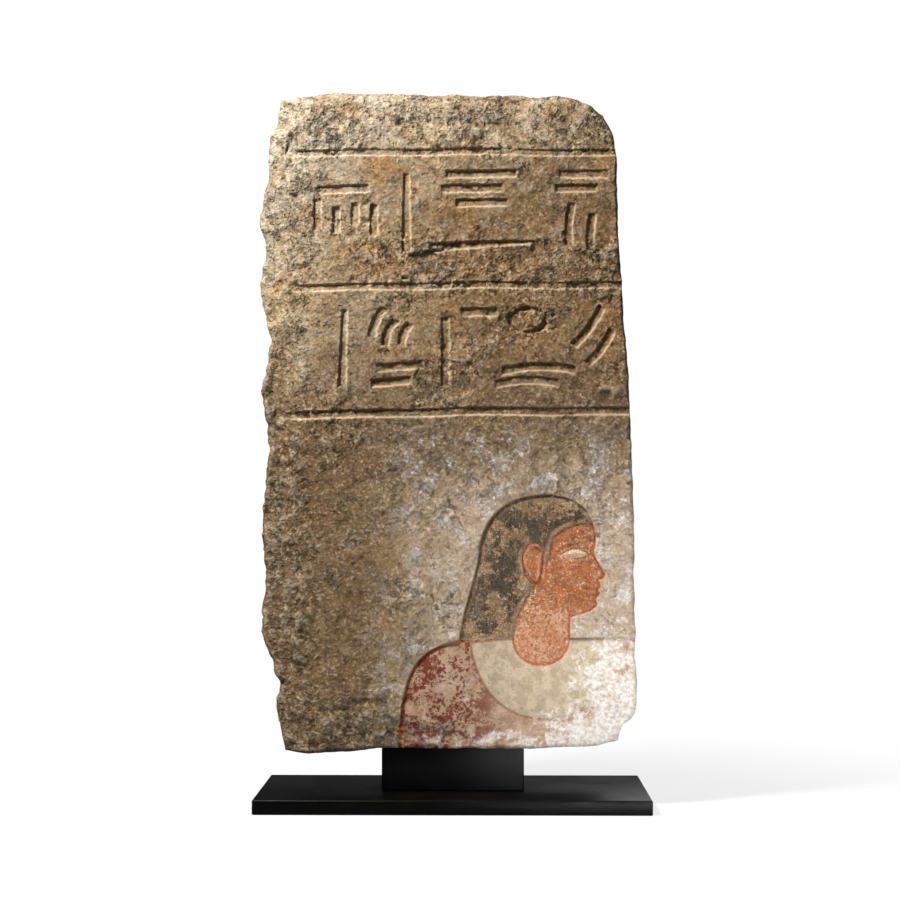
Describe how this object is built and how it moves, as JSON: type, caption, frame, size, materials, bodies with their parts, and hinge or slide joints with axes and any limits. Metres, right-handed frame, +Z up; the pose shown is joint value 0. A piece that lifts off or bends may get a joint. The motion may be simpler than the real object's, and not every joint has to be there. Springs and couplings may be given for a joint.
{
  "type": "carved stone stele fragment on a metal stand",
  "caption": "Broken upright limestone slab with ruled rows of shallow strokes over a painted sunk-relief head and shoulder in profile, held upright on a black metal block and plate.",
  "frame": {"origin": "on the ground, under the middle of the base plate", "axes": "+Z up, X along the carved face with +X to the viewer's right, +Y from the carved face to the back"},
  "size_m": [0.32, 0.15, 0.5871],
  "materials": {
    "limestone": "matt weathered limestone with worn red, cream and charcoal paint",
    "black_metal": "satin black"
  },
  "bodies": {
    "root": {"limestone_slab": "limestone", "support_block": "black_metal", "base_plate": "black_metal"}
  },
  "joints": []
}
